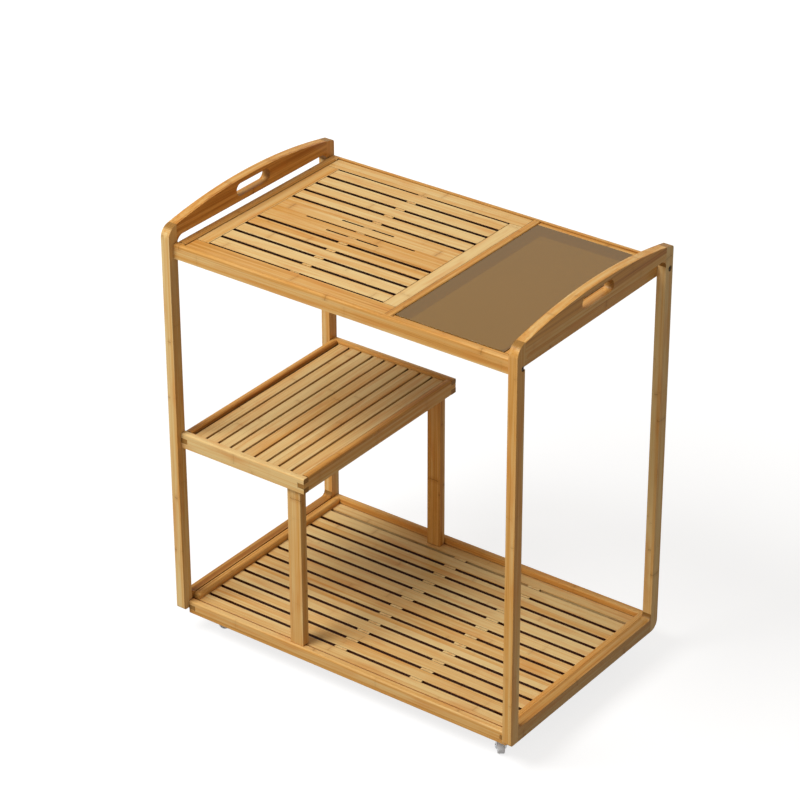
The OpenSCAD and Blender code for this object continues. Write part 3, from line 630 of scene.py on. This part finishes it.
def crossed_screws(node):
    """Upright screws whose heads have a cross recess below."""
    bm = solid_of(node)
    ease(bm, SMALL_EDGE, SMALL_STEPS)
    arm = bpy.context.scene.cart_metal.recess
    slim, deep = ARM_SLIM * arm, ARM_DEEP * arm
    corner = [(slim, slim), (slim, arm), (-slim, arm)]
    for group in islands(bm):
        head = max((f for f in group if f.normal.z < DOWNWARD), key=lambda f: f.calc_area())
        middle = head.calc_center_median()
        rim = list(head.edges)
        bmesh.ops.delete(bm, geom=[head], context="FACES_ONLY")
        outline = []
        for quarter in range(4):
            turn = Matrix.Rotation(quarter * math.pi / 2, 2)
            outline += [turn @ Vector(p) for p in corner]
        brink = [bm.verts.new(middle + Vector((x, y, 0))) for x, y in outline]
        floor = [bm.verts.new(middle + Vector((ARM_FLOOR * x, ARM_FLOOR * y, deep))) for x, y in outline]
        edges = [bm.edges.new((brink[i - 1], brink[i])) for i in range(len(brink))]
        for i in range(len(brink)):
            bm.faces.new((brink[i - 1], brink[i], floor[i], floor[i - 1]))
        bm.faces.new(floor)
        bmesh.ops.triangle_fill(bm, use_beauty=True, edges=rim + edges, normal=(0, 0, -1))
    bmesh.ops.recalc_face_normals(bm, faces=bm.faces)
    return fit(to_object(bm, node + "_part"), "zinc", "zinc_steel", "cart", node)


# Operators


class CartOperator(bpy.types.Operator):
    """What all the cart's operators share"""

    bl_options = {"REGISTER", "UNDO"}

    def execute(self, context):
        self.build(context.scene)
        return {"FINISHED"}


class TEACART_OT_side_frames(CartOperator):
    """Dress the posts, the arched handles and the foot rails"""

    bl_idname = "teacart.side_frames"
    bl_label = "Side Frames"

    def build(self, scene):
        for corner in CORNERS:
            board("post_" + corner, scene.cart_edges.post, "post_bamboo")
        for side in ("left", "right"):
            board("handle_panel_" + side, scene.cart_edges.post)
            board("foot_rail_" + side, scene.cart_edges.post, "foot_bamboo")


class TEACART_OT_deck(CartOperator):
    """Dress the deck's frame, slats, boards and battens"""

    bl_idname = "teacart.deck"
    bl_label = "Slatted Deck"

    def build(self, scene):
        for side in ("front", "back", "left", "right"):
            board("deck_rail_" + side, scene.cart_edges.rail)
        board("deck_divider", scene.cart_edges.rail)
        for node in ("deck_border_boards", "deck_centre_board"):
            board(node, scene.cart_edges.board, "board_bamboo")
        board("deck_slats", scene.cart_edges.slat, "slat_bamboo")
        for node in ("deck_end_boards", "deck_cross_batten"):
            board(node, scene.cart_edges.board, "slat_bamboo")
        board("deck_end_battens", scene.cart_edges.board, "plain_bamboo", "bamboo_plain")


class TEACART_OT_glass_bay(CartOperator):
    """Dress the tinted pane, its bamboo strips, cleats and pads"""

    bl_idname = "teacart.glass_bay"
    bl_label = "Glass Bay"

    def build(self, scene):
        board("glass_ledge_strips", scene.cart_edges.board)
        board("glass_cleats", scene.cart_edges.board, "plain_bamboo", "bamboo_plain")
        hardware("glass_panel", scene.cart_glass.edge, "brown_pane", "tinted_glass", steps=3)
        hardware("glass_pads", PAD_EDGE, "pad_plastic", "clear_pad", steps=3)


class TEACART_OT_middle_shelf(CartOperator):
    """Dress the middle shelf and its two support posts"""

    bl_idname = "teacart.middle_shelf"
    bl_label = "Middle Shelf"

    def build(self, scene):
        for side in ("back", "left", "right"):
            board("mid_rail_" + side, scene.cart_edges.rail)
        board("mid_rail_front", scene.cart_edges.rail, "pale_bamboo")
        board("mid_slats", scene.cart_edges.board, "shelf_bamboo")
        board("mid_cleats", scene.cart_edges.board, "plain_bamboo", "bamboo_plain")
        for side in ("front", "back"):
            board("support_post_" + side, scene.cart_edges.rail)


class TEACART_OT_lower_shelf(CartOperator):
    """Dress the lower shelf, its battens and its corner blocks"""

    bl_idname = "teacart.lower_shelf"
    bl_label = "Lower Shelf"

    def build(self, scene):
        board("low_rail_front", scene.cart_edges.rail, "rim_bamboo")
        board("low_border_boards", scene.cart_edges.board / 2, "border_bamboo")
        for side in ("back", "left", "right"):
            board("low_rail_" + side, scene.cart_edges.rail)
        for node in ("low_slats", "low_cross_battens"):
            board(node, scene.cart_edges.board, "shelf_bamboo")
        for node in ("low_end_battens", "caster_blocks"):
            board(node, scene.cart_edges.board, "plain_bamboo", "bamboo_plain")


class TEACART_OT_fasteners(CartOperator):
    """Dress the bolts, their barrel nuts and the screws"""

    bl_idname = "teacart.fasteners"
    bl_label = "Fasteners"

    def build(self, scene):
        for node in ("barrel_nuts", "frame_screws"):
            hardware(node, SMALL_EDGE, "zinc", "zinc_steel")
        crossed_screws("caster_screws")
        hardware("frame_bolts", SMALL_EDGE, "bolt_brown", "zinc_steel")


class TEACART_OT_casters(CartOperator):
    """Dress the casters' plates, forks, axles and wheels"""

    bl_idname = "teacart.casters"
    bl_label = "Casters"

    def build(self, scene):
        for corner in CORNERS:
            hardware("caster_plate_" + corner, STEEL_EDGE, "zinc", "zinc_steel", steps=3)
            fork(corner)
            hardware("caster_axle_" + corner, STEEL_EDGE, "axle_zinc", "zinc_steel", "swivel_" + corner, 3)
            wheel(corner)


def white_for_eyes(tree, lit, white):
    """Shows white to the camera, to mirrors and through glass, and lit to everything else."""
    path = tree.nodes.new("ShaderNodeLightPath").outputs
    seen = path["Is Camera Ray"]
    for ray in ("Is Glossy Ray", "Is Transmission Ray"):
        both = tree.nodes.new("ShaderNodeMath")
        both.operation = "MAXIMUM"
        tree.links.new(seen, both.inputs[0])
        tree.links.new(path[ray], both.inputs[1])
        seen = both.outputs[0]
    mix = tree.nodes.new("ShaderNodeMixShader")
    tree.links.new(seen, mix.inputs[0])
    tree.links.new(lit, mix.inputs[1])
    tree.links.new(white, mix.inputs[2])
    return mix.outputs[0]


def place_lamp(name, spot, target, power, size):
    lamp = bpy.data.lights.new(name, "AREA")
    lamp.shape = "DISK"
    lamp.size = size
    lamp.energy = power
    holder = bpy.data.objects.new(name, lamp)
    holder.location = spot
    holder.rotation_mode = "QUATERNION"
    holder.rotation_quaternion = (Vector(target) - Vector(spot)).to_track_quat("-Z", "Y")
    bpy.context.scene.collection.objects.link(holder)


class TEACART_OT_stage(CartOperator):
    """Set the pale floor, the soft lights and the camera at the photograph's angle"""

    bl_idname = "teacart.stage"
    bl_label = "Stage"

    def build(self, scene):
        s = scene.cart_studio
        half = FLOOR_HALF
        mesh = bpy.data.meshes.new("floor")
        corners = [(-half, -half, 0), (half, -half, 0), (half, half, 0), (-half, half, 0)]
        mesh.from_pydata(corners, [], [(0, 1, 2, 3)])
        floor = bpy.data.objects.new("floor", mesh)
        scene.collection.objects.link(floor)
        t = Tree("studio_floor")
        place = t.add("TexCoord").outputs["Object"]
        mottle = t.noise(place, 1.5, 2.0)
        skin = t.blend(mottle, (*darker(s.floor, s.bounce * 0.99), 1), (*darker(s.floor, s.bounce), 1))
        floor.data.materials.append(t.finish(Base_Color=skin, Roughness=0.9, Specular_IOR_Level=0.0))
        away = t.add("VectorMath", {0: place}, operation="LENGTH").outputs["Value"]
        strength = t.fade(away, FADE_START, s.fade, s.glow, 1.0)
        glow = t.add("Emission", {"Color": (1, 1, 1, 1), "Strength": strength})
        both = t.add("AddShader", {0: t.shader.outputs[0], 1: glow.outputs[0]})
        t.links.new(white_for_eyes(t, t.shader.outputs[0], both.outputs[0]), t.out.inputs["Surface"])

        world = bpy.data.worlds.new("studio")
        world.use_nodes = True
        scene.world = world
        tree = world.node_tree
        tree.nodes.clear()
        sky = tree.nodes.new("ShaderNodeBackground")
        sky.inputs["Color"].default_value = (*s.fill, 1)
        sky.inputs["Strength"].default_value = s.sky
        white = tree.nodes.new("ShaderNodeBackground")
        white.inputs["Color"].default_value = (1, 1, 1, 1)
        white.inputs["Strength"].default_value = 1.0
        out = tree.nodes.new("ShaderNodeOutputWorld")
        tree.links.new(white_for_eyes(tree, sky.outputs[0], white.outputs[0]), out.inputs["Surface"])
        middle = (CAD_BOX[0] + CAD_BOX[1]) / 2
        place_lamp("key_light", KEY_SPOT, middle, s.key, KEY_SIZE)
        place_lamp("front_light", FRONT_SPOT, middle, s.front, FRONT_SIZE)

        level = math.cos(s.pitch)
        ahead = Vector((-math.sin(s.yaw) * level, math.cos(s.yaw) * level, -math.sin(s.pitch)))
        right = Vector((math.cos(s.yaw), math.sin(s.yaw), 0))
        down = ahead.cross(right)
        sideways = math.cos(s.roll) * right + math.sin(s.roll) * down
        lower = -math.sin(s.roll) * right + math.cos(s.roll) * down
        lens = bpy.data.cameras.new("camera")
        lens.lens = s.lens
        lens.sensor_width = SENSOR
        lens.clip_end = FAR
        camera = bpy.data.objects.new("camera", lens)
        pose = Matrix((sideways, -lower, -ahead)).transposed().to_4x4()
        pose.translation = Vector(s.target) - s.distance * ahead
        camera.matrix_world = pose
        scene.collection.objects.link(camera)
        scene.camera = camera
        scene.view_settings.view_transform = "Standard"


class TEACART_PT_panel(bpy.types.Panel):
    """The tea cart's settings and operators"""

    bl_label = "Tea Cart"
    bl_idname = "TEACART_PT_panel"
    bl_space_type = "VIEW_3D"
    bl_region_type = "UI"
    bl_category = "Tea Cart"

    def draw(self, context):
        for name in SETTINGS:
            group = getattr(context.scene, name)
            column = self.layout.column(align=True)
            for key in group.__annotations__:
                column.prop(group, key)
        for operator in OPERATORS:
            self.layout.operator(operator.bl_idname)


SETTINGS = {
    "cart_bamboo": CartBamboo,
    "cart_edges": CartEdges,
    "cart_glass": CartGlass,
    "cart_metal": CartMetal,
    "cart_studio": CartStudio,
}
OPERATORS = (
    TEACART_OT_stage,
    TEACART_OT_side_frames,
    TEACART_OT_deck,
    TEACART_OT_glass_bay,
    TEACART_OT_middle_shelf,
    TEACART_OT_lower_shelf,
    TEACART_OT_fasteners,
    TEACART_OT_casters,
)


def register():
    for group in SETTINGS.values():
        bpy.utils.register_class(group)
    for name, group in SETTINGS.items():
        setattr(bpy.types.Scene, name, PointerProperty(type=group))
    for operator in OPERATORS:
        bpy.utils.register_class(operator)
    bpy.utils.register_class(TEACART_PT_panel)


def unregister():
    bpy.utils.unregister_class(TEACART_PT_panel)
    for operator in reversed(OPERATORS):
        bpy.utils.unregister_class(operator)
    for name, group in reversed(list(SETTINGS.items())):
        delattr(bpy.types.Scene, name)
        bpy.utils.unregister_class(group)


def main():
    register()
    for operator in OPERATORS:
        family, name = operator.bl_idname.split(".")
        getattr(getattr(bpy.ops, family), name)()


if __name__ == "__main__":
    main()
